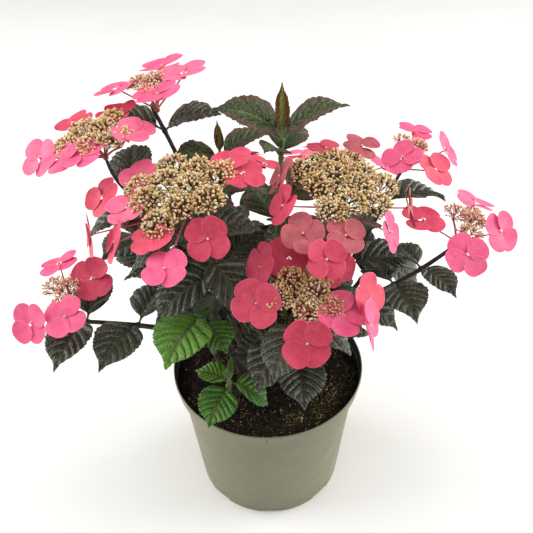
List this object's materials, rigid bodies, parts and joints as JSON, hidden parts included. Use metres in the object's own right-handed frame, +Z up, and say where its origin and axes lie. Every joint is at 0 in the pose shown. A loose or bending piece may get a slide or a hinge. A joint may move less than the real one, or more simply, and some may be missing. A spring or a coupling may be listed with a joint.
{
  "type": "potted lacecap hydrangea shrub",
  "caption": "Flowering lacecap hydrangea shrub with dark quilted leaves and pink florets round flat bud clusters, in a round tapering nursery pot.",
  "frame": {"origin": "centre of the pot's flat underside", "axes": "+Z up; +X to the right and +Y away from the viewer of the main view"},
  "size_m": [0.5223, 0.3743, 0.5508],
  "materials": {
    "pot_plastic": "matte",
    "soil": "matte",
    "bark": "matte",
    "dark_leaves": "satin",
    "young_leaves": "satin",
    "flowers": "matte"
  },
  "bodies": {
    "root": {"pot": "pot_plastic", "soil": "soil", "cane_left": "bark", "cane_centre_left": "bark", "cane_back_left": "bark", "cane_centre": "bark", "cane_centre_right": "bark", "cane_right": "bark", "cane_back_right": "bark", "cane_back": "bark", "cane_green": "bark", "cane_sucker": "bark", "bough_low_left": "bark", "bough_front": "bark", "bough_far_right": "bark", "bough_low_front": "bark", "leaves_top_left": "dark_leaves", "leaves_green_back": "young_leaves", "leaves_left": "dark_leaves", "leaves_centre_left": "dark_leaves", "leaves_low_left": "dark_leaves", "leaves_top": "young_leaves", "leaves_centre_right": "dark_leaves", "leaves_upper_right": "dark_leaves", "leaves_far_right": "dark_leaves", "leaves_front": "dark_leaves", "leaves_green_left": "young_leaves", "leaves_sucker": "young_leaves", "leaves_low_front": "dark_leaves", "leaves_low_right": "dark_leaves", "leaves_side_left": "dark_leaves", "leaves_side_right": "dark_leaves", "leaves_back_left": "dark_leaves", "leaves_back_right": "dark_leaves", "leaves_low_back": "dark_leaves", "leaves_low_back_left": "dark_leaves", "head_top_left": "flowers", "head_left": "flowers", "head_centre_left": "flowers", "head_low_left": "flowers", "head_centre_right": "flowers", "head_upper_right": "flowers", "head_far_right": "flowers", "head_front": "flowers", "head_back_left": "flowers", "head_back_right": "flowers"}
  },
  "joints": []
}
